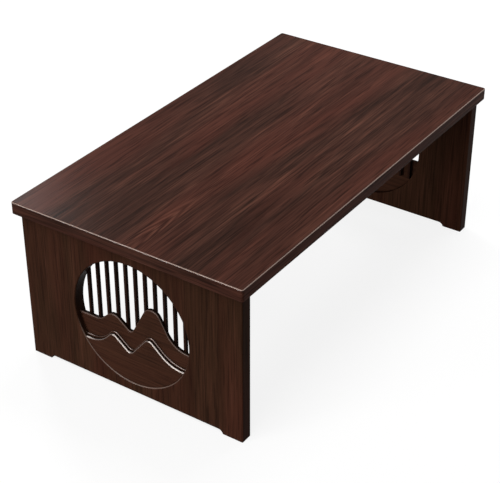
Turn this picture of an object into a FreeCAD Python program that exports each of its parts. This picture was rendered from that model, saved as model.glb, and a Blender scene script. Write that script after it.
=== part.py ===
import FreeCAD, Part
import math
import os

# A low folding table. A plain board stands on two end panels, which fold inwards and lie flat under it.
# Each panel has a round window with a lattice of thin bars and three hill-shaped plates in front of it.
# Millimetres. X runs along the length, Y across, Z up. The origin is on the floor, at the table's middle.
# The pieces of an end are made for the left end, at low X. The right end is the same, turned half round.

os.makedirs("parts", exist_ok=True)
Vec = FreeCAD.Vector
UP = Vec(0, 0, 1)
INWARD = Vec(1, 0, 0)
OUTWARD = Vec(-1, 0, 0)
CROSSWISE = Vec(0, 1, 0)
ENDS = {"left": 0, "right": 180}

# The table
length = 800.0
width = 450.0
height = 300.0

# The top
top_thickness = 22.0
top_corner_radius = 4.0
top_edge_round = 1.5
top_lower_edge_break = 0.8
end_overhang = 12.0
side_overhang = 9.0

# The end panels
panel_thickness = 22.0
panel_edge_break = 1.0
foot_length = 38.0
foot_cove_run = 9.0
foot_notch_height = 7.0

# The round window: the wood left above and below it, and the glue gap round what is let into it
window_margin = 24.0
window_edge_break = 1.2
glue_gap = 0.1

# The lattice bars stand just inside the panel's inner face and end behind the tall hill plate
bar_count = 11
bar_width = 4.5
bar_depth = 6.0
bar_recess = 0.5
bar_foot_share = -0.50

# The hill plates fill the window from just inside the outer face back to the lattice bars
front_hill_recess = 1.2
front_hill_thickness = 5.3
middle_hill_thickness = 2.5
middle_hill_rise = 3.0
hill_edge_break = 1.0

# The crests, from the front of the table to the rear. Each hilltop or dip has its place across from the
# window's middle, its height above it and its radius, all as shares of the window's radius. The radius of
# a dip is negative.
low_crest_shares = [
    (-0.863, -0.448, -0.53), (-0.298, -0.152, 0.085), (0.050, -0.487, -0.08), (0.343, -0.296, 0.084),
    (0.766, -0.523, -0.41),
]
tall_crest_shares = [
    (-0.925, -0.178, -0.41), (-0.314, 0.332, 0.15), (0.076, -0.173, -0.06), (0.371, 0.002, 0.145),
    (0.686, -0.172, -0.20),
]

# Butt hinges, two to a panel, in the corner between its inner face and the top. The setback is from the
# side of the panel to the hinge's end.
hinge_length = 50.0
hinge_setback = 12.0
leaf_width = 20.0
leaf_thickness = 1.6
knuckle_count = 3
knuckle_radius = 3.0
knuckle_gap = 0.3
hinge_air = 0.3
pin_radius = 1.5
pin_clearance = 0.05
leaf_screw_radius = 1.9
leaf_screw_setback = 12.0
leaf_screw_pitch = 30.0

# Flush bolts, one to a panel, let into its inner face between the window and the front hinge
bolt_window_margin = 8.0
bolt_travel = 8.0
rod_radius = 2.5
rod_depth = 6.0
rod_drop = 1.0
rod_tail = 8.0
thumb_width = 5.0
thumb_height = 6.0
thumb_stand = 1.5
slide_gap = 0.3
bolt_end_gap = 1.5
face_plate_length = 56.0
face_plate_width = 18.0
face_plate_thickness = 1.5
face_plate_setback = 6.0

# Strike plates in the underside of the top, one over each bolt. They are let in a little deeper than flush,
# so that their screw heads clear the panel.
strike_length = 34.0
strike_width = 11.6
strike_thickness = 1.5
strike_recess = 0.4

# Magnet catches, one to a panel, near its rear foot. The pad is under the top and its steel plate is in
# the panel. The setback is from the side of the panel to the catch's end.
catch_length = 26.0
catch_width = 12.0
catch_setback = 53.0
catch_height = 40.0
catch_gap = 0.3
catch_plate_thickness = 1.5

# How far a cutting shape runs past what it cuts
overrun = 2.0

# Sizes that follow
underside = height - top_thickness
panel_width = width - 2 * side_overhang
outer_face = end_overhang - length / 2
inner_face = outer_face + panel_thickness
window_middle = underside / 2
window_radius = underside / 2 - window_margin
bar_pitch = 2 * window_radius / (bar_count + 1)
bar_face = inner_face - bar_recess - bar_depth
front_hill_face = outer_face + front_hill_recess
middle_hill_face = front_hill_face + front_hill_thickness
tall_hill_face = middle_hill_face + middle_hill_thickness
tall_hill_thickness = bar_face - tall_hill_face
hinge_standoff = knuckle_radius + hinge_air
hinge_x = inner_face + hinge_standoff
hinge_z = underside - hinge_standoff
hinge_offset = panel_width / 2 - hinge_setback - hinge_length / 2
catch_offset = panel_width / 2 - catch_setback - catch_length / 2
rod_x = inner_face - rod_depth
face_plate_top = underside - face_plate_setback
thumb_z = face_plate_top - (face_plate_length + bolt_travel + thumb_height) / 2
bolt_clear_radius = window_radius + bolt_window_margin
face_plate_rise = face_plate_top - face_plate_length - window_middle
bolt_offset = math.sqrt(bolt_clear_radius ** 2 - face_plate_rise ** 2) + face_plate_width / 2
pad_height = 2 * hinge_standoff - catch_gap
pad_x = hinge_x + hinge_z - catch_height


def block(low, high):
    """A box between its lowest and its highest corner."""
    size = high - low
    return Part.makeBox(size.x, size.y, size.z, low)


def cut_all(shape, cutters):
    """A shape with several others cut out of it."""
    return shape.cut(Part.makeCompound(cutters))


def pair(offset):
    """The two places across the table, front and rear, at the same distance from its middle."""
    return {"front": -offset, "rear": offset}


def at_end(shape, end):
    """A piece that is made for the left end, in its place at either end."""
    placed = shape.copy()
    placed.rotate(Vec(0, 0, 0), UP, ENDS[end])
    return placed


def side_at_end(y, end):
    """The place across the left end that comes to a given place once the end is turned."""
    return y if end == "left" else -y


# Butt hinges

def knuckles(y, radius, first):
    """Every second knuckle of a hinge, from the first or the second one on."""
    size = (hinge_length - (knuckle_count - 1) * knuckle_gap) / knuckle_count
    start = y - hinge_length / 2
    places = [start + index * (size + knuckle_gap) for index in range(first, knuckle_count, 2)]
    return [Part.makeCylinder(radius, size, Vec(hinge_x, place, hinge_z), CROSSWISE) for place in places]


def knuckle_notches(y, first, low, high):
    """Room in a leaf for the other leaf's knuckles, between two corners given across the axis."""
    notches = []
    for knuckle in knuckles(y, knuckle_radius, first):
        box = knuckle.BoundBox
        notch_low = Vec(low.x, box.YMin - knuckle_gap, low.z)
        notches.append(block(notch_low, Vec(high.x, box.YMax + knuckle_gap, high.z)))
    return notches


def leaf(plate, y, first, notches, hole_middle, through):
    """A hinge leaf: a plate with its knuckles and two screw holes."""
    body = cut_all(plate, notches).fuse(knuckles(y, knuckle_radius, first))
    holes = [
        Part.makeCylinder(leaf_screw_radius, leaf_thickness, hole_middle + CROSSWISE * offset, through)
        for offset in (-leaf_screw_pitch / 2, leaf_screw_pitch / 2)]
    return cut_all(body, holes)


def hinge_core(y, radius):
    """A cylinder on the hinge's axis, from one end of the hinge to the other."""
    return Part.makeCylinder(radius, hinge_length, Vec(hinge_x, y - hinge_length / 2, hinge_z), CROSSWISE)


def top_leaf(y):
    """The leaf under the top. The hinge's pin is fixed in its knuckles and ends flush with them."""
    low = Vec(hinge_x, y - hinge_length / 2, underside - leaf_thickness)
    plate = block(low, Vec(hinge_x + leaf_width, y + hinge_length / 2, underside))
    notches = knuckle_notches(y, 1, low, Vec(hinge_x + hinge_standoff, 0, underside))
    body = leaf(plate, y, 0, notches, Vec(hinge_x + leaf_screw_setback, y, low.z), UP)
    return body.fuse(hinge_core(y, pin_radius)).removeSplitter()


def panel_leaf(y):
    """The leaf on the end panel. Its knuckle turns on the pin."""
    high = Vec(inner_face + leaf_thickness, y + hinge_length / 2, hinge_z)
    plate = block(Vec(inner_face, y - hinge_length / 2, hinge_z - leaf_width), high)
    notches = knuckle_notches(y, 0, Vec(inner_face, 0, hinge_z - hinge_standoff), high)
    body = leaf(plate, y, 1, notches, Vec(high.x, y, hinge_z - leaf_screw_setback), OUTWARD)
    return body.cut(hinge_core(y, pin_radius + pin_clearance)).removeSplitter()


# Flush bolts and their strike plates

def face_plate_outline(y, gap):
    return block(
        Vec(inner_face - face_plate_thickness, y - face_plate_width / 2 - gap,
            face_plate_top - face_plate_length - gap),
        Vec(inner_face, y + face_plate_width / 2 + gap, face_plate_top + gap))


def face_plate(y):
    """The plate, with the slot that the thumb piece slides in."""
    slot = block(
        Vec(inner_face - face_plate_thickness, y - thumb_width / 2 - slide_gap, thumb_z - slide_gap),
        Vec(inner_face, y + thumb_width / 2 + slide_gap, thumb_z + thumb_height + bolt_travel + slide_gap))
    return face_plate_outline(y, 0.0).cut(slot)


def bolt_rod(y):
    """The sliding rod, drawn back, with its thumb piece standing a little proud of the face plate."""
    low = thumb_z - rod_tail
    rod = Part.makeCylinder(rod_radius, underside - rod_drop - low, Vec(rod_x, y, low), UP)
    thumb = block(
        Vec(rod_x, y - thumb_width / 2, thumb_z),
        Vec(inner_face + thumb_stand, y + thumb_width / 2, thumb_z + thumb_height))
    return rod.fuse(thumb).removeSplitter()


def bolt_recess(y):
    """The wood taken out of a panel for one flush bolt."""
    reach = rod_radius + slide_gap
    groove = block(
        Vec(rod_x - reach, y - reach, thumb_z - rod_tail - bolt_end_gap),
        Vec(inner_face, y + reach, thumb_z + thumb_height + bolt_travel + bolt_end_gap))
    bore = Part.makeCylinder(reach, underside - thumb_z + overrun, Vec(rod_x, y, thumb_z), UP)
    return face_plate_outline(y, glue_gap).fuse([groove, bore])


def strike_mortise(y):
    """The square hole that the rod is shot into, through the strike plate and up into the top."""
    reach = rod_radius + slide_gap
    return block(
        Vec(rod_x - reach, y - reach, underside - overrun),
        Vec(rod_x + reach, y + reach, underside - rod_drop + bolt_travel + bolt_end_gap))


def strike_outline(y, lowest, gap):
    """A strike plate, or the recess for it, up from a given height."""
    seat = underside + strike_recess + strike_thickness
    return block(
        Vec(rod_x - strike_width / 2 - gap, y - strike_length / 2 - gap, lowest),
        Vec(rod_x + strike_width / 2 + gap, y + strike_length / 2 + gap, seat))


def strike_plate(y):
    return strike_outline(y, underside + strike_recess, 0.0).cut(strike_mortise(y))


# Magnet catches

def magnet_pad(y):
    """A pad that fills the space between the top and a folded panel."""
    return block(
        Vec(pad_x - catch_width / 2, y - catch_length / 2, underside - pad_height),
        Vec(pad_x + catch_width / 2, y + catch_length / 2, underside))


def catch_plate(y, gap=0.0):
    """A plate let flush into the inner face of a panel, near its foot, or the recess for it."""
    half_length = catch_length / 2 + gap
    half_width = catch_width / 2 + gap
    return block(
        Vec(inner_face - catch_plate_thickness, y - half_length, catch_height - half_width),
        Vec(inner_face, y + half_length, catch_height + half_width))


# The top

def table_top():
    """The board, with rounded corners, a soft upper edge and a small bevel underneath."""
    board = block(Vec(-length / 2, -width / 2, underside), Vec(length / 2, width / 2, height))
    uprights = [edge for edge in board.Edges if edge.BoundBox.ZLength > top_thickness / 2]
    board = board.makeFillet(top_corner_radius, uprights)
    upper = [edge for edge in board.Edges if edge.BoundBox.ZMin > height - top_thickness / 2]
    board = board.makeFillet(top_edge_round, upper)
    lower = [edge for edge in board.Edges if edge.BoundBox.ZMax < underside + top_thickness / 2]
    board = board.makeChamfer(top_lower_edge_break, lower)
    cutters = []
    for end in ENDS:
        y = side_at_end(-bolt_offset, end)
        recess = strike_outline(y, underside - overrun, glue_gap)
        cutters += [at_end(recess, end), at_end(strike_mortise(y), end)]
    return cut_all(board, cutters)


# The end panels

def window_disc(start, thickness, gap):
    """A disc that fits the window, from a place in the panel's thickness inwards."""
    return Part.makeCylinder(window_radius - gap, thickness, Vec(start, 0, window_middle), INWARD)


def foot_notch():
    """The shallow gap under a panel between its two feet, with a cove at each end."""
    foot = panel_width / 2 - foot_length
    flat = foot - foot_cove_run
    radius = (foot_cove_run ** 2 + foot_notch_height ** 2) / (2 * foot_notch_height)
    turn = (math.atan2(radius - foot_notch_height, foot_cove_run) + math.pi / 2) / 2
    half_run = flat + radius * math.cos(turn)
    half_rise = foot_notch_height - radius + radius * math.sin(turn)
    x = outer_face - overrun
    rear = Part.Arc(Vec(x, foot, 0), Vec(x, half_run, half_rise), Vec(x, flat, foot_notch_height))
    front = Part.Arc(Vec(x, -flat, foot_notch_height), Vec(x, -half_run, half_rise), Vec(x, -foot, 0))
    straight = Part.makePolygon([Vec(x, flat, foot_notch_height), Vec(x, -flat, foot_notch_height)])
    below = Part.makePolygon([
        Vec(x, -foot, 0), Vec(x, -foot, -overrun), Vec(x, foot, -overrun), Vec(x, foot, 0)])
    outline = Part.Wire([rear.toShape()] + straight.Edges + [front.toShape()] + below.Edges)
    return Part.Face(outline).extrude(Vec(panel_thickness + 2 * overrun, 0, 0))


def end_panel(bolt_y, catch_y):
    blank = block(Vec(outer_face, -panel_width / 2, 0), Vec(inner_face, panel_width / 2, underside))
    uprights = [edge for edge in blank.Edges if edge.BoundBox.ZLength > underside / 2]
    blank = blank.makeChamfer(panel_edge_break, uprights)
    rim = Part.makeCone(
        window_radius + window_edge_break, window_radius, window_edge_break,
        Vec(outer_face, 0, window_middle), INWARD)
    window = window_disc(outer_face - overrun, panel_thickness + 2 * overrun, 0.0).fuse(rim)
    cutters = [window, foot_notch(), bolt_recess(bolt_y), catch_plate(catch_y, glue_gap)]
    return cut_all(blank, cutters)


# What is let into the window

def hill_line(crest_shares, face, rise):
    """A line of hills and dips: arcs, joined by the straight slopes that touch them."""
    rounds = []
    for across, up, radius in crest_shares:
        height_up = window_middle + (up - radius) * window_radius + rise
        rounds.append((Vec(face, across * window_radius, height_up), radius * window_radius))
    slopes = [0.0]
    for (start, start_radius), (end, end_radius) in zip(rounds, rounds[1:]):
        way = end - start
        slopes.append(math.atan2(way.z, way.y) - math.asin((start_radius - end_radius) / way.Length))
    slopes.append(0.0)
    reach = window_radius + overrun
    arcs = []
    for (middle, radius), before, after in zip(rounds, slopes, slopes[1:]):
        turns = (before, (before + after) / 2, after)
        arcs.append([middle + Vec(0, -math.sin(turn), math.cos(turn)) * radius for turn in turns])
    corners = [Vec(face, -reach, arcs[0][0].z)]
    edges = []
    for begin, crown, finish in arcs:
        edges.append(Part.LineSegment(corners[-1], begin).toShape())
        edges.append(Part.Arc(begin, crown, finish).toShape())
        corners.append(finish)
    edges.append(Part.LineSegment(corners[-1], Vec(face, reach, corners[-1].z)).toShape())
    return edges


def hill_plate(crest_shares, face, thickness, rise=0.0, edge_break=0.0):
    """A plate that fills the window up to a line of hills. The front of its crest can be bevelled."""
    floor = window_middle - window_radius - overrun
    crest = hill_line(crest_shares, face, rise)
    first = crest[0].Vertexes[0].Point
    last = crest[-1].Vertexes[-1].Point
    sides = Part.makePolygon([last, Vec(face, last.y, floor), Vec(face, first.y, floor), first])
    slab = Part.Face(Part.Wire(crest + sides.Edges)).extrude(Vec(thickness, 0, 0))
    middle = face + thickness / 2
    front_edges = [edge for edge in slab.Edges
                   if edge.BoundBox.XMax < middle and edge.BoundBox.ZMin > floor + overrun / 2]
    if edge_break:
        slab = slab.makeChamfer(edge_break, front_edges)
    return slab.common(window_disc(face - overrun, thickness + 2 * overrun, glue_gap))


def lattice_bar(index):
    """One upright bar, counted from the front, whose upper end follows the window."""
    y = (index + 1) * bar_pitch - window_radius
    foot = window_middle + bar_foot_share * window_radius
    bar = block(
        Vec(bar_face, y - bar_width / 2, foot),
        Vec(bar_face + bar_depth, y + bar_width / 2, window_middle + window_radius))
    return bar.common(window_disc(bar_face - overrun, bar_depth + 2 * overrun, glue_gap))


# All the pieces by name, and their files

nodes = {"top_board": table_top()}
hills = {
    "front_hill_plate": hill_plate(
        low_crest_shares, front_hill_face, front_hill_thickness, edge_break=hill_edge_break),
    "middle_hill_plate": hill_plate(
        low_crest_shares, middle_hill_face, middle_hill_thickness, rise=middle_hill_rise),
    "back_hill_plate": hill_plate(
        tall_crest_shares, tall_hill_face, tall_hill_thickness, edge_break=hill_edge_break),
}

for end in ENDS:
    bolt_y = side_at_end(-bolt_offset, end)
    catch_y = side_at_end(catch_offset, end)
    nodes[end + "_end_panel"] = at_end(end_panel(bolt_y, catch_y), end)
    nodes[end + "_bolt_face_plate"] = at_end(face_plate(bolt_y), end)
    nodes[end + "_bolt_rod"] = at_end(bolt_rod(bolt_y), end)
    nodes[end + "_strike_plate"] = at_end(strike_plate(bolt_y), end)
    nodes[end + "_magnet_pad"] = at_end(magnet_pad(catch_y), end)
    nodes[end + "_catch_plate"] = at_end(catch_plate(catch_y), end)
    for name, shape in hills.items():
        nodes[end + "_" + name] = at_end(shape, end)
    for index in range(bar_count):
        place = index if end == "left" else bar_count - 1 - index
        nodes["%s_lattice_bar_%02d" % (end, index + 1)] = at_end(lattice_bar(place), end)
    for side, place in pair(hinge_offset).items():
        y = side_at_end(place, end)
        hinge = "%s_%s_hinge_" % (end, side)
        nodes[hinge + "top_leaf"] = at_end(top_leaf(y), end)
        nodes[hinge + "panel_leaf"] = at_end(panel_leaf(y), end)

for name, shape in nodes.items():
    if not shape.isValid():
        print("not a valid shape:", name)
    shape.exportStep("parts/%s.step" % name)
print("pieces:", len(nodes), "solids:", sum(len(shape.Solids) for shape in nodes.values()))
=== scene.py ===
import bpy
import math
from mathutils import Matrix, Vector
from mathutils.geometry import tessellate_polygon


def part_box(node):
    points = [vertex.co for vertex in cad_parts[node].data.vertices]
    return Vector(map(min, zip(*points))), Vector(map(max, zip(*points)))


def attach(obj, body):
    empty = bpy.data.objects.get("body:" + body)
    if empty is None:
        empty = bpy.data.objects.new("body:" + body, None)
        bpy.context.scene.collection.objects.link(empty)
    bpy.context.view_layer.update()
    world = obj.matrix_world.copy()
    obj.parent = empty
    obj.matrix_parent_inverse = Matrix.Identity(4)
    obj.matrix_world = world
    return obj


# A low folding table of dark walnut: the finishes of its pieces, the screws of its fittings, the floor
# that it stands on, the light and the camera. Metres, in the frame of the CAD model: X runs along the
# table and Z is up.

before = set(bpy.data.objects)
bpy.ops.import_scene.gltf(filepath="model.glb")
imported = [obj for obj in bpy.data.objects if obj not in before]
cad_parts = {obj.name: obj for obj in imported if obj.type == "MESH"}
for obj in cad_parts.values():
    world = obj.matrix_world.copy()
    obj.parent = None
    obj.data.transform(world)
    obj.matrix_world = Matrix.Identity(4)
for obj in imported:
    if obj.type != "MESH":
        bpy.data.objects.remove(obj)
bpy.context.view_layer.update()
MM = 0.001
ALONG, ACROSS, UP = 0, 1, 2
DOWN = Vector((0, 0, -1))

# The screws have cross heads. Those of the hinges and face plates are round and stand a little proud.
# Those of the strike plates are flat, and stay below the underside of the top. A profile runs down from
# the crown of the head, in shares of its radius and height.
SCREW_RADIUS = 3.2 * MM
SCREW_SIDES = 28
ROUND_HEAD_HEIGHT = 0.9 * MM
ROUND_HEAD_PROFILE = [(0.60, 1.0), (0.88, 0.74), (1.0, 0.32), (1.0, 0.0)]
FLAT_HEAD_HEIGHT = 0.3 * MM
FLAT_HEAD_PROFILE = [(0.88, 1.0), (1.0, 0.5), (1.0, 0.0)]
CROSS_REACH_SHARE = 0.46
CROSS_WIDTH_SHARE = 0.12
CROSS_BED_SHARE = 0.15

# Where the screws sit on the fittings
LEAF_THICKNESS = 1.6 * MM
LEAF_SCREW_MARGIN = 8.0 * MM
LEAF_SCREW_OFFSET = 15.0 * MM
PLATE_SCREW_MARGIN = 7.0 * MM
STRIKE_SCREW_MARGIN = 6.5 * MM

# The layers of the walnut's grain: how long each is along the grain, how wide across it, and the shape of
# its noise. Real bundles of fibres are about 1 mm wide, and real pores 0.3 mm wide and a few millimetres
# long. That is too fine to show, so both are drawn larger.
GRAIN_LAYERS = {
    "red_flushes": (620 * MM, 70 * MM, {"Detail": 2.0, "Distortion": 0.4}),
    "growth_bands": (380 * MM, 30 * MM, {"Detail": 3.0, "Roughness": 0.55, "Distortion": 0.8}),
    "streaks": (260 * MM, 7 * MM, {"Detail": 4.0, "Roughness": 0.6, "Distortion": 0.3}),
    "fibres": (110 * MM, 2.8 * MM, {"Detail": 3.0, "Roughness": 0.6}),
    "pores": (70 * MM, 2.2 * MM, {"Detail": 1.0})}

# The tone of the wood is the sum of its streaks and of these shares of its fibres, growth bands and crown.
# The sum lies round the middle, and the darkest and the lightest tone lie this far to each side of it.
FIBRE_SHARE = 1.5
BAND_SHARE = 1.3
CROWN_SHARE = -0.5
TONE_MIDDLE = 1.94
TONE_REACH = 0.46

# Between which values of its noise a flush or a pore comes up, and how much of the wood a pore darkens
FLUSH_SPAN = {"From Min": 0.42, "From Max": 0.68}
PORE_SPAN = {"From Min": 0.55, "From Max": 0.66}
PORE_SHARE = 0.6
PORE_COLOUR = "#150c09"

# One arch of growth rings on the top, near its left end, where the saw ran through their crown: the place
# of its tip, its length, half its width there, how often a ring comes in that length, how much the streaks
# make the rings waver, and how far from the middle ring, in the same length, they start and end to fade
CROWN_TIP = (-303 * MM, -16 * MM, 0)
CROWN_LENGTH = 95 * MM
CROWN_HALF_WIDTH = 14 * MM
CROWN_RINGS = 1.8
CROWN_WAVER = 0.8
CROWN_FADE = {"From Min": 0.1, "From Max": 1.3, "To Min": 1.0, "To Max": 0.0}

# A face that looks more than this share along the grain is an end of the board
END_FACE = 0.75

# How far the painted highlight along an edge reaches, which is also how far the edges are rounded in
# shading. On a real table such a rounding is about 1 mm wide, which is too fine to show, so it is drawn
# wider.
HIGHLIGHT_REACH = 2.5 * MM

# Which part of an edge gets the painted highlight and which faces get the painted shade, by how far they
# look along an axis: each span runs from the first value that counts to the one from which it counts in full
OFF_FACE_SPAN = {"From Min": 0.97, "From Max": 0.88}
OFF_SIDE_SPAN = {"From Min": 0.1, "From Max": 0.3}
UPWARD_SPAN = {"From Min": 0.2, "From Max": 0.4}
SIDE_SHADE_SPAN = {"From Min": 0.5, "From Max": 0.3}
# The colour of the painted shade on the narrow faces, nearly black
PAINTED_SHADE_COLOUR = "#0c0705"

# The lacquer: how it follows the fibres, and how smooth and glossy it is where the edges carry the painted
# highlight
LACQUER_IOR = 1.5
LACQUER_RELIEF = {"Strength": 0.12, "Distance": 0.25 * MM}
HIGHLIGHT_ROUGHNESS = 0.22
HIGHLIGHT_GLOSS = 0.5

# The brushed lines of the steel, with how much smoother and rougher they make it, and the grit of the
# moulded plastic. Real lines are about 0.05 mm wide and real grit 0.1 mm, so both are drawn coarser.
BRUSH_LENGTH = 20 * MM
BRUSH_WIDTH = 0.35 * MM
BRUSH_SMOOTHER = 0.08
BRUSH_ROUGHER = 0.12
BRUSH_RELIEF = {"Strength": 0.15, "Distance": 0.05 * MM}
MOULD_GRIT = 0.5 * MM
MOULD_RELIEF = {"Strength": 0.25, "Distance": 0.08 * MM}

# The floor reaches this far each way. The light that it gives back is that of grey paper. Between half a
# metre and two and a half metres from the middle of the table it turns from nearly white, where the shadow
# shows, to white.
FLOOR_REACH = 6.0
FLOOR_BOUNCE = "#928f8c"
FLOOR_FADE = {"From Min": 0.5, "From Max": 2.5, "To Min": 0.85, "To Max": 1.0}
WHITE = "#ffffff"

# The share of its white that the room gives as light, and how far away the lamps stand
ROOM_LIGHT = 0.33
LAMP_DISTANCE = 3.0

# The camera looks down at the front left corner of the table. The directions of the camera and the lamps
# are turned from the X axis to the Y axis and raised from the floor, in degrees.
CAMERA_PLACE = Vector((-1.7507, -1.1502, 1.4265))
CAMERA_AZIMUTH = 214.033
CAMERA_ELEVATION = 32.467
SENSOR_WIDTH = 36
FOCAL_LENGTH = 98.91


def towards(azimuth, elevation):
    """The way from the table to a place at that azimuth and elevation, one metre long."""
    turn, rise = math.radians(azimuth), math.radians(elevation)
    return Vector((math.cos(turn) * math.cos(rise), math.sin(turn) * math.cos(rise), math.sin(rise)))


def stand(place, outward):
    """Where a thing stands whose own Z axis looks outward at that place."""
    return Matrix.Translation(place) @ outward.to_track_quat("Z", "Y").to_matrix().to_4x4()


# Materials

def colour(code):
    """The linear values of an sRGB hex colour."""
    parts = [int(code[at:at + 2], 16) / 255 for at in (1, 3, 5)]
    return (*[part / 12.92 if part <= 0.04045 else ((part + 0.055) / 1.055) ** 2.4 for part in parts], 1.0)


def add(tree, kind, inputs=(), **settings):
    """A node with its settings. Each input, by name or number, is a value or the socket that feeds it."""
    node = tree.nodes.new(kind)
    for name, value in settings.items():
        setattr(node, name, value)
    for name, value in dict(inputs).items():
        if isinstance(value, bpy.types.NodeSocket):
            tree.links.new(value, node.inputs[name])
        else:
            node.inputs[name].default_value = value
    return node


def new_material(name):
    """An empty material, its node tree and the tree's output node."""
    material = bpy.data.materials.new(name)
    material.use_nodes = True
    material.node_tree.nodes.clear()
    return material, material.node_tree, material.node_tree.nodes.new("ShaderNodeOutputMaterial")


def repeats(grain, along, across):
    """How often a pattern of that length and width repeats in a metre, along the grain and across it."""
    return [1 / along if axis == grain else 1 / across for axis in range(3)]


def wood_place(tree, board):
    """Where a point lies in the board. On faces that look along the grain the place is turned by a quarter,
    so that the pattern there runs along the edge, as on a lipping."""
    place = add(tree, "ShaderNodeTexCoord").outputs["Object"]
    faces = add(tree, "ShaderNodeNewGeometry").outputs["Normal"]
    facing = add(tree, "ShaderNodeVectorTransform", {"Vector": faces}, vector_type="NORMAL",
                 convert_from="WORLD", convert_to="OBJECT").outputs[0]
    facing = add(tree, "ShaderNodeSeparateXYZ", {0: facing}).outputs[board["grain"]]
    on_end = add(tree, "ShaderNodeMath", {0: facing}, operation="ABSOLUTE").outputs[0]
    on_end = add(tree, "ShaderNodeMath", {0: on_end, 1: END_FACE}, operation="GREATER_THAN").outputs[0]
    in_plane = (board["grain"], board["lipping"])
    quarter_turn = [0 if axis in in_plane else math.pi / 2 for axis in range(3)]
    turned = add(tree, "ShaderNodeMapping", {"Vector": place, "Rotation": quarter_turn}).outputs[0]
    return add(tree, "ShaderNodeMix", {0: on_end, 4: place, 5: turned}, data_type="VECTOR").outputs[1]


def crown_rings(tree, place, streaks):
    """Rings nested in an arch: each is a parabola that opens to the left. They waver with the streaks and
    fade away from the middle one."""
    spot = add(tree, "ShaderNodeMapping", {
        "Vector": place, "Location": CROWN_TIP, "Scale": (CROWN_LENGTH, CROWN_HALF_WIDTH, 1.0)},
        vector_type="TEXTURE").outputs[0]
    spot = add(tree, "ShaderNodeSeparateXYZ", {0: spot})
    arch = add(tree, "ShaderNodeMath", {
        0: spot.outputs[ACROSS], 1: spot.outputs[ACROSS], 2: spot.outputs[ALONG]},
        operation="MULTIPLY_ADD").outputs[0]
    waver = add(tree, "ShaderNodeMath", {0: streaks, 1: 0.5}, operation="SUBTRACT").outputs[0]
    arch = add(tree, "ShaderNodeMath", {
        0: waver, 1: CROWN_WAVER, 2: arch}, operation="MULTIPLY_ADD").outputs[0]
    turn = add(tree, "ShaderNodeMath", {
        0: arch, 1: 2 * math.pi * CROWN_RINGS}, operation="MULTIPLY").outputs[0]
    rings = add(tree, "ShaderNodeMath", {0: turn}, operation="COSINE").outputs[0]
    off_arch = add(tree, "ShaderNodeMath", {0: arch}, operation="ABSOLUTE").outputs[0]
    shown = add(tree, "ShaderNodeMapRange", {"Value": off_arch, **CROWN_FADE}).outputs[0]
    return add(tree, "ShaderNodeMath", {0: rings, 1: shown}, operation="MULTIPLY").outputs[0]


def heartwood(tree, board, cut):
    """The colour of the bare wood, the height of its fibres and the share of each spot that is a pore."""
    place = wood_place(tree, board)
    grain = {}
    for layer, (length, width, shape) in GRAIN_LAYERS.items():
        drawn_out = add(tree, "ShaderNodeMapping", {
            "Vector": place, "Location": board["offset"],
            "Scale": repeats(board["grain"], length, width)}).outputs[0]
        grain[layer] = add(tree, "ShaderNodeTexNoise", {
            "Vector": drawn_out, "Scale": 1.0, **shape}).outputs[0]

    # The streaks, the fibres and the bands give the tone, the flushes redden it, and the pores are dark
    mixed = add(tree, "ShaderNodeMath", {
        0: grain["fibres"], 1: FIBRE_SHARE, 2: grain["streaks"]}, operation="MULTIPLY_ADD").outputs[0]
    mixed = add(tree, "ShaderNodeMath", {
        0: grain["growth_bands"], 1: BAND_SHARE, 2: mixed}, operation="MULTIPLY_ADD").outputs[0]
    if cut["crown"]:
        crown = crown_rings(tree, place, grain["streaks"])
        mixed = add(tree, "ShaderNodeMath", {
            0: crown, 1: CROWN_SHARE, 2: mixed}, operation="MULTIPLY_ADD").outputs[0]
    reach = TONE_REACH / cut["figure"]
    tone = add(tree, "ShaderNodeMapRange", {
        "Value": mixed, "From Min": TONE_MIDDLE - reach, "From Max": TONE_MIDDLE + reach}).outputs[0]
    ramp = add(tree, "ShaderNodeValToRGB", {"Fac": tone})
    while len(ramp.color_ramp.elements) < len(cut["tones"]):
        ramp.color_ramp.elements.new(0.5)
    for stop, (share, code) in zip(ramp.color_ramp.elements, cut["tones"]):
        stop.position = share
        stop.color = colour(code)
    reddened = add(tree, "ShaderNodeMapRange", {
        "Value": grain["red_flushes"], **FLUSH_SPAN, "To Max": cut["red_share"]}).outputs[0]
    heart = add(tree, "ShaderNodeMix", {
        0: reddened, 6: ramp.outputs["Color"], 7: colour(cut["red"])}, data_type="RGBA").outputs[2]
    dash = add(tree, "ShaderNodeMapRange", {
        "Value": grain["pores"], **PORE_SPAN, "To Max": PORE_SHARE * cut["figure"]}).outputs[0]
    wood = add(tree, "ShaderNodeMix", {
        0: dash, 6: heart, 7: colour(PORE_COLOUR)}, data_type="RGBA").outputs[2]
    return wood, grain["fibres"], dash


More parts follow.
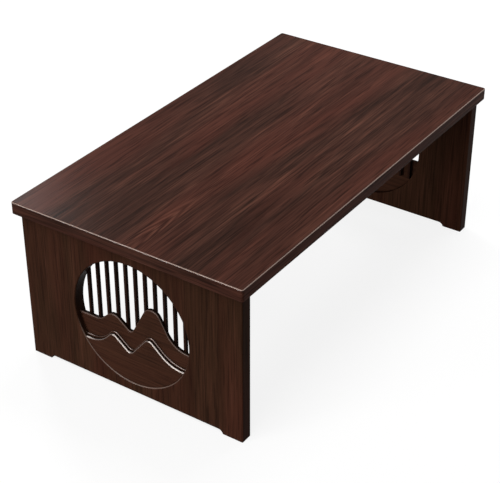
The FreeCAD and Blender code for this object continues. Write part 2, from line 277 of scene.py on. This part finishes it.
def edge_highlight_and_shade(tree, board, painted_edges):
    """The rounded normal of the edges, how far each gets a painted highlight, and how dark the painted shade
    on the narrow faces is. Where an edge is rounded it looks partly along the broad faces. Only edges of
    the outer face that look up get the painted highlight, and those that look to the rear less of it."""
    rounded = add(tree, "ShaderNodeBevel", {"Radius": painted_edges["reach"]}, samples=8).outputs[0]
    looking = add(tree, "ShaderNodeVectorTransform", {"Vector": rounded}, vector_type="NORMAL",
                  convert_from="WORLD", convert_to="OBJECT").outputs[0]
    looking = add(tree, "ShaderNodeSeparateXYZ", {0: looking})
    place = add(tree, "ShaderNodeTexCoord").outputs["Object"]
    place = add(tree, "ShaderNodeSeparateXYZ", {0: place})
    broad = board["broad"]
    outward = add(tree, "ShaderNodeMath", {
        0: looking.outputs[broad], 1: place.outputs[broad]}, operation="MULTIPLY").outputs[0]
    outward = add(tree, "ShaderNodeMath", {0: outward, 1: 0.0}, operation="GREATER_THAN").outputs[0]
    slant = add(tree, "ShaderNodeMath", {0: looking.outputs[broad]}, operation="ABSOLUTE").outputs[0]
    off_face = add(tree, "ShaderNodeMapRange", {
        "Value": slant, **OFF_FACE_SPAN, "To Max": painted_edges["share"]}).outputs[0]
    off_side = add(tree, "ShaderNodeMapRange", {"Value": slant, **OFF_SIDE_SPAN}).outputs[0]
    upward = add(tree, "ShaderNodeMapRange", {"Value": looking.outputs[UP], **UPWARD_SPAN}).outputs[0]
    rear_from, rear_to, rear_share = painted_edges["rear"]
    rearward = add(tree, "ShaderNodeMapRange", {
        "Value": looking.outputs[ACROSS], "From Min": rear_from, "From Max": rear_to,
        "To Min": 1.0, "To Max": rear_share}).outputs[0]
    # Painted highlight: the rounded part of outer edges that look up, less of it on those that look to the
    # rear
    highlight_and_polish = off_face
    for limit in (outward, off_side, upward, rearward):
        highlight_and_polish = add(tree, "ShaderNodeMath", {0: highlight_and_polish, 1: limit}, operation="MULTIPLY").outputs[0]
    # Painted shade on the narrow faces, which look little along the broad axis
    painted_side_shade = add(tree, "ShaderNodeMapRange", {"Value": slant, **SIDE_SHADE_SPAN, "To Max": painted_edges["painted_side_shade"]}).outputs[0]
    return rounded, highlight_and_polish, painted_side_shade


def walnut(name, board, cut, painted_edges, gloss, roughness):
    """Dark walnut under a satin lacquer, with a painted highlight along its upper edges, where the lacquer
    is also smoother and glossier.

    The board gives the axis of its grain, the one along which its thin lipping runs, the one that its broad
    faces look along, and where in the pattern it was cut. The cut gives its tones, each with its place on
    the scale, and how much of its red and of its figure shows. The painted edges give the colour of the
    painted highlight and how much of it shows, how far to the rear an edge looks where it starts and ends
    to fade and what is left of it there, how far it reaches, and how much painted shade darkens the narrow
    faces."""
    material, tree, output = new_material(name)
    wood, fibres, dash = heartwood(tree, board, cut)
    rounded, highlight_and_polish, painted_side_shade = edge_highlight_and_shade(tree, board, painted_edges)
    # Painted shade darkens the narrow faces
    side_shaded = add(tree, "ShaderNodeMix", {
        0: painted_side_shade, 6: wood, 7: colour(PAINTED_SHADE_COLOUR)}, data_type="RGBA").outputs[2]
    # The painted highlight along the upper edges
    finish = add(tree, "ShaderNodeMix", {
        0: highlight_and_polish, 6: side_shaded, 7: colour(painted_edges["colour"])}, data_type="RGBA").outputs[2]

    # The lacquer follows the fibres a little, sinks into the pores and is polished where the edges carry the
    # painted highlight
    relief = add(tree, "ShaderNodeMath", {0: fibres, 1: dash}, operation="SUBTRACT").outputs[0]
    surface = add(tree, "ShaderNodeBump", {
        "Height": relief, **LACQUER_RELIEF, "Normal": rounded}).outputs["Normal"]
    smooth = add(tree, "ShaderNodeMapRange", {
        "Value": highlight_and_polish, "To Min": roughness, "To Max": HIGHLIGHT_ROUGHNESS}).outputs[0]
    shine = add(tree, "ShaderNodeMapRange", {
        "Value": highlight_and_polish, "To Min": gloss, "To Max": HIGHLIGHT_GLOSS}).outputs[0]
    shader = add(tree, "ShaderNodeBsdfPrincipled", {
        "Base Color": finish, "Roughness": smooth, "Normal": surface, "IOR": LACQUER_IOR,
        "Specular IOR Level": shine})
    tree.links.new(shader.outputs["BSDF"], output.inputs["Surface"])
    return material


def brushed_steel(name, grain, code, roughness):
    """Brushed steel: fine parallel lines that spread its highlights across them."""
    material, tree, output = new_material(name)
    place = add(tree, "ShaderNodeTexCoord").outputs["Object"]
    drawn_out = add(tree, "ShaderNodeMapping", {
        "Vector": place, "Scale": repeats(grain, BRUSH_LENGTH, BRUSH_WIDTH)}).outputs[0]
    lines = add(tree, "ShaderNodeTexNoise", {"Vector": drawn_out, "Scale": 1.0, "Detail": 2.0}).outputs[0]
    gloss = add(tree, "ShaderNodeMapRange", {
        "Value": lines, "To Min": roughness - BRUSH_SMOOTHER,
        "To Max": roughness + BRUSH_ROUGHER}).outputs[0]
    surface = add(tree, "ShaderNodeBump", {"Height": lines, **BRUSH_RELIEF}).outputs["Normal"]
    shader = add(tree, "ShaderNodeBsdfPrincipled", {
        "Base Color": colour(code), "Metallic": 1.0, "Roughness": gloss, "Normal": surface})
    tree.links.new(shader.outputs["BSDF"], output.inputs["Surface"])
    return material


def moulded_plastic(name, code, roughness):
    """Moulded ABS: an even colour with the soft, slightly grainy gloss of a textured mould."""
    material, tree, output = new_material(name)
    place = add(tree, "ShaderNodeTexCoord").outputs["Object"]
    grit = add(tree, "ShaderNodeTexNoise", {
        "Vector": place, "Scale": 1 / MOULD_GRIT, "Detail": 2.0}).outputs[0]
    surface = add(tree, "ShaderNodeBump", {"Height": grit, **MOULD_RELIEF}).outputs["Normal"]
    shader = add(tree, "ShaderNodeBsdfPrincipled", {
        "Base Color": colour(code), "Roughness": roughness, "Normal": surface, "IOR": 1.53})
    tree.links.new(shader.outputs["BSDF"], output.inputs["Surface"])
    return material


# The top is one wide planed board with its grain along the table, stained and sprayed with satin lacquer.
# The eye sees long brown and red streaks under a low sheen, and a thin pale painted highlight round its
# upper edge. It is the reddest and lightest of the wood.
top_walnut = walnut(
    "lacquered_walnut_top",
    {"grain": ALONG, "lipping": ACROSS, "broad": UP, "offset": (0.3, 1.7, 0.0)},
    {"tones": [(0.0, "#231611"), (0.35, "#33201a"), (0.7, "#432a22"), (1.0, "#57382d")],
     "red": "#542c23", "red_share": 0.5, "figure": 0.95, "crown": True},
    {"colour": "#a48c80", "share": 0.72, "rear": (0.2, 0.6, 0.3), "reach": HIGHLIGHT_REACH, "painted_side_shade": 0.0},
    gloss=0.007, roughness=0.26)

# The end panels have upright grain, and a browner, darker cut of the same walnut. Its calm upright streaks
# let the window stand out.
panel_walnut = walnut(
    "lacquered_walnut_panel",
    {"grain": UP, "lipping": ACROSS, "broad": ALONG, "offset": (2.1, 0.4, 0.0)},
    {"tones": [(0.0, "#26160f"), (0.35, "#322016"), (0.7, "#3e271c"), (1.0, "#4c3024")],
     "red": "#43221a", "red_share": 0.5, "figure": 0.75, "crown": False},
    # A fainter painted highlight along the upper edges, and painted shade on the narrow faces
    {"colour": "#8e766a", "share": 0.45, "rear": (0.2, 0.6, 0.6), "reach": HIGHLIGHT_REACH, "painted_side_shade": 0.4},
    gloss=0.005, roughness=0.36)

# The hills are sawn from thin boards with their grain across the window. Their narrow faces carry a
# nearly black painted shade, and their crests a bright painted highlight, most of all on the slopes that
# look to the front, so that each hill is drawn by a bright line over a dark one. Each highlight is a
# little less bright than the one before it.
front_hill_walnut, middle_hill_walnut, back_hill_walnut = [walnut(
    f"lacquered_walnut_{place}_hill",
    {"grain": ACROSS, "lipping": ALONG, "broad": ALONG, "offset": offset},
    {"tones": [(0.0, "#2a1a13"), (0.35, "#352118"), (0.7, "#41291e"), (1.0, "#4e3327")],
     "red": "#43261c", "red_share": 0.4, "figure": 0.7, "crown": False},
    {"colour": highlight_colour, "share": share, "rear": (-0.1, 0.12, rear_share), "reach": reach, "painted_side_shade": 0.85},
    gloss=0.006, roughness=0.34)
    for place, offset, highlight_colour, share, rear_share, reach in (
        ("front", (0.9, 3.3, 1.4), "#fdf0e8", 1.0, 0.12, 2.8 * MM),
        ("middle", (1.7, 2.1, 0.6), "#bda79e", 0.9, 0.12, HIGHLIGHT_REACH),
        ("back", (0.2, 1.2, 2.3), "#8c766c", 0.45, 0.4, HIGHLIGHT_REACH))]

# The bars are the darkest wood, with upright grain as in any slim planed strip. They read as plain dark
# lines against the light.
lattice_walnut = walnut(
    "lacquered_walnut_lattice",
    {"grain": UP, "lipping": ACROSS, "broad": ALONG, "offset": (4.2, 0.8, 2.5)},
    {"tones": [(0.0, "#1c120e"), (0.4, "#271813"), (1.0, "#35231c")],
     "red": "#351d16", "red_share": 0.3, "figure": 0.8, "crown": False},
    # A faint painted highlight along the upper edges, and painted shade on the narrow faces
    {"colour": "#5c463c", "share": 0.4, "rear": (0.2, 0.6, 1.0), "reach": HIGHLIGHT_REACH, "painted_side_shade": 0.4},
    gloss=0.005, roughness=0.4)

# Hinges are stainless steel brushed along their leaves, and bolts and catches are brushed along their
# height, so that they gleam softly and mirror nothing sharply. The turned heads of the screws are brighter
# and show as small dots of light.
hinge_steel = brushed_steel("brushed_steel_hinges", ACROSS, "#a7a59f", roughness=0.34)
bolt_steel = brushed_steel("brushed_steel_bolts", UP, "#9b9993", roughness=0.32)
screw_steel = brushed_steel("turned_steel_screws", ACROSS, "#b4b2ac", roughness=0.28)

# The magnets sit in moulded black ABS, which is matt and shows as a dark spot under the top
magnet_plastic = moulded_plastic("moulded_plastic_magnet_case", "#24211f", roughness=0.5)

# The finish of each piece, by words in its name. The first words that fit are taken, and the pieces left
# over are the steel ones of the bolts and catches.
FINISHES = (("top_board", top_walnut), ("end_panel", panel_walnut), ("front_hill", front_hill_walnut),
            ("middle_hill", middle_hill_walnut), ("back_hill", back_hill_walnut),
            ("lattice_bar", lattice_walnut), ("hinge", hinge_steel), ("magnet_pad", magnet_plastic),
            ("", bolt_steel))
for name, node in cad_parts.items():
    finish = next(material for words, material in FINISHES if words in name)
    for slot in node.material_slots:
        slot.material = finish


# Screws

def screw_head(name, profile, height):
    """The mesh of a head with a cross recess, on its plate at height zero."""
    reach = SCREW_RADIUS * CROSS_REACH_SHARE
    arm = SCREW_RADIUS * CROSS_WIDTH_SHARE
    outline = [(reach, -arm), (reach, arm), (arm, arm), (arm, reach), (-arm, reach), (-arm, arm),
               (-reach, arm), (-reach, -arm), (-arm, -arm), (-arm, -reach), (arm, -reach), (arm, -arm)]
    turns = [2 * math.pi * side / SCREW_SIDES for side in range(SCREW_SIDES)]
    dome = [[Vector((share * SCREW_RADIUS * math.cos(turn), share * SCREW_RADIUS * math.sin(turn),
                     rise * height)) for turn in turns] for share, rise in profile]
    mouth = [Vector((x, y, height)) for x, y in outline]
    bed = [Vector((x, y, height * CROSS_BED_SHARE)) for x, y in outline]

    # The crown is the flat round the mouth of the cross, then come the walls and the bed of the recess
    points = dome[0] + mouth + bed
    faces = list(tessellate_polygon([dome[0], mouth]))
    for corner in range(len(outline)):
        after = (corner + 1) % len(outline)
        first, second = SCREW_SIDES + corner, SCREW_SIDES + after
        faces.append((first, second, second + len(outline), first + len(outline)))
    faces.append(tuple(range(SCREW_SIDES + len(outline), SCREW_SIDES + 2 * len(outline))))

    # The rings of the dome run down from the crown to the plate
    upper = 0
    for ring in dome[1:]:
        lower = len(points)
        points += ring
        for side in range(SCREW_SIDES):
            after = (side + 1) % SCREW_SIDES
            faces.append((upper + side, lower + side, lower + after, upper + after))
        upper = lower

    mesh = bpy.data.meshes.new(name)
    mesh.from_pydata(points, [], faces)
    mesh.materials.append(screw_steel)
    mesh.validate()
    mesh.update()
    return mesh


def drive_screw(mesh, name, place, outward, body):
    """A screw head at a place on a plate, with its axis along the way that the plate faces."""
    screw = bpy.data.objects.new(name, mesh)
    bpy.context.scene.collection.objects.link(screw)
    screw.matrix_world = stand(place, outward)
    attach(screw, body)


round_head = screw_head("round_screw_head", ROUND_HEAD_PROFILE, ROUND_HEAD_HEIGHT)
flat_head = screw_head("flat_screw_head", FLAT_HEAD_PROFILE, FLAT_HEAD_HEIGHT)
for end, side in (("left", -1), ("right", 1)):
    inward = Vector((-side, 0, 0))

    # Each hinge leaf has two screws, in from its free edge
    for row in ("front", "rear"):
        low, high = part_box(f"{end}_{row}_hinge_top_leaf")
        middle = (low[ACROSS] + high[ACROSS]) / 2
        free_edge = low[ALONG] if side > 0 else high[ALONG]
        along = free_edge + side * LEAF_SCREW_MARGIN
        for number, shift in enumerate((-LEAF_SCREW_OFFSET, LEAF_SCREW_OFFSET), 1):
            place = Vector((along, middle + shift, high[UP] - LEAF_THICKNESS))
            drive_screw(round_head, f"{end}_{row}_top_leaf_screw_{number}", place, DOWN,
                        "tabletop")
        low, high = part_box(f"{end}_{row}_hinge_panel_leaf")
        face = (low[ALONG] if side < 0 else high[ALONG]) - side * LEAF_THICKNESS
        for number, shift in enumerate((-LEAF_SCREW_OFFSET, LEAF_SCREW_OFFSET), 1):
            place = Vector((face, middle + shift, low[UP] + LEAF_SCREW_MARGIN))
            drive_screw(round_head, f"{end}_{row}_panel_leaf_screw_{number}", place, inward,
                        f"{end}_leg")

    # The face plate of each bolt has a screw near its foot and one near its top
    low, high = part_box(f"{end}_bolt_face_plate")
    middle = (low[ACROSS] + high[ACROSS]) / 2
    face = high[ALONG] if side < 0 else low[ALONG]
    foot, head = low[UP] + PLATE_SCREW_MARGIN, high[UP] - PLATE_SCREW_MARGIN
    for number, height in enumerate((foot, head), 1):
        drive_screw(round_head, f"{end}_face_plate_screw_{number}", Vector((face, middle, height)), inward,
                    f"{end}_leg")

    # The strike plate over it has a screw on each side of its mortise
    low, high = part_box(f"{end}_strike_plate")
    middle = (low[ALONG] + high[ALONG]) / 2
    near, far = low[ACROSS] + STRIKE_SCREW_MARGIN, high[ACROSS] - STRIKE_SCREW_MARGIN
    for number, across in enumerate((near, far), 1):
        drive_screw(flat_head, f"{end}_strike_plate_screw_{number}", Vector((middle, across, low[UP])), DOWN,
                    "tabletop")


# Floor, light and camera

def seen_ray(tree):
    """1 for what is seen by the camera, in a reflection or through glass, and 0 for light on the table."""
    path = add(tree, "ShaderNodeLightPath")
    seen = path.outputs["Is Camera Ray"]
    for other in ("Is Glossy Ray", "Is Transmission Ray"):
        seen = add(tree, "ShaderNodeMath", {0: seen, 1: path.outputs[other]}, operation="MAXIMUM").outputs[0]
    return seen


def studio_floor():
    """A pale seamless floor that looks white to the camera and gives only a little light back. It keeps the
    shadow near the table and fades into the white of the room away from it. It is clear from below, so that
    the underside of the table shows."""
    mesh = bpy.data.meshes.new("studio_floor")
    corners = [(x * FLOOR_REACH, y * FLOOR_REACH, 0) for x, y in ((-1, -1), (1, -1), (1, 1), (-1, 1))]
    mesh.from_pydata(corners, [], [(0, 1, 2, 3)])
    floor = bpy.data.objects.new("studio_floor", mesh)
    bpy.context.scene.collection.objects.link(floor)
    material, tree, output = new_material("white_paper_floor")
    seen = seen_ray(tree)
    paper = add(tree, "ShaderNodeMix", {
        0: seen, 6: colour(FLOOR_BOUNCE), 7: colour(WHITE)}, data_type="RGBA").outputs[2]
    place = add(tree, "ShaderNodeTexCoord").outputs["Object"]
    away = add(tree, "ShaderNodeVectorMath", {0: place}, operation="LENGTH").outputs["Value"]
    whiter = add(tree, "ShaderNodeMapRange", {"Value": away, **FLOOR_FADE}).outputs[0]
    lit = add(tree, "ShaderNodeMath", {0: seen, 1: whiter}, operation="MULTIPLY").outputs[0]
    surface = add(tree, "ShaderNodeBsdfDiffuse", {"Color": paper})
    glow = add(tree, "ShaderNodeEmission", {"Color": colour(WHITE)})
    above = add(tree, "ShaderNodeMixShader", {0: lit, 1: surface.outputs[0], 2: glow.outputs[0]})
    from_below = add(tree, "ShaderNodeNewGeometry").outputs["Backfacing"]
    clear = add(tree, "ShaderNodeBsdfTransparent")
    shader = add(tree, "ShaderNodeMixShader", {0: from_below, 1: above.outputs[0], 2: clear.outputs[0]})
    tree.links.new(shader.outputs[0], output.inputs["Surface"])
    mesh.materials.append(material)


def studio_world():
    """A plain soft room that looks white to the camera and in reflections."""
    world = bpy.data.worlds.new("studio_room")
    world.use_nodes = True
    tree = world.node_tree
    tree.nodes.clear()
    level = add(tree, "ShaderNodeMapRange", {
        "Value": seen_ray(tree), "To Min": ROOM_LIGHT, "To Max": 1.0}).outputs[0]
    light = add(tree, "ShaderNodeBackground", {"Color": colour(WHITE), "Strength": level})
    output = add(tree, "ShaderNodeOutputWorld")
    tree.links.new(light.outputs["Background"], output.inputs["Surface"])
    bpy.context.scene.world = world


def lamp(name, kind, azimuth, elevation, energy, **settings):
    """A lamp that shines at the table from an azimuth and an elevation."""
    light = bpy.data.lights.new(name, kind)
    light.energy = energy
    for setting, value in settings.items():
        setattr(light, setting, value)
    away = towards(azimuth, elevation)
    fitting = bpy.data.objects.new(name, light)
    fitting.matrix_world = stand(away * LAMP_DISTANCE, away)
    bpy.context.scene.collection.objects.link(fitting)


studio_floor()
studio_world()

# The key light falls softly from the left on the top and the left panel
lamp("key_light", "SUN", azimuth=172, elevation=58, energy=1.35, angle=math.radians(40))

# The far light lifts the right half of the top
lamp("far_light", "AREA", azimuth=0, elevation=70, energy=33, shape="RECTANGLE", size=1.4, size_y=1.0)

# The low light comes from the rear on the left, reaches the far panel under the top and leaves the front
# dark
lamp("low_fill_light", "SUN", azimuth=150, elevation=8, energy=1.55, angle=math.radians(20))

# The sheen light is small, and the lacquer of the top's rear left corner mirrors it
lamp("sheen_light", "AREA", azimuth=60, elevation=36, energy=34, shape="RECTANGLE", size=0.6, size_y=0.4)

lens = bpy.data.cameras.new("camera")
lens.sensor_width = SENSOR_WIDTH
lens.lens = FOCAL_LENGTH
camera = bpy.data.objects.new("camera", lens)
camera.matrix_world = stand(CAMERA_PLACE, towards(CAMERA_AZIMUTH, CAMERA_ELEVATION))
bpy.context.scene.collection.objects.link(camera)
bpy.context.scene.camera = camera
bpy.context.scene.view_settings.view_transform = "Standard"
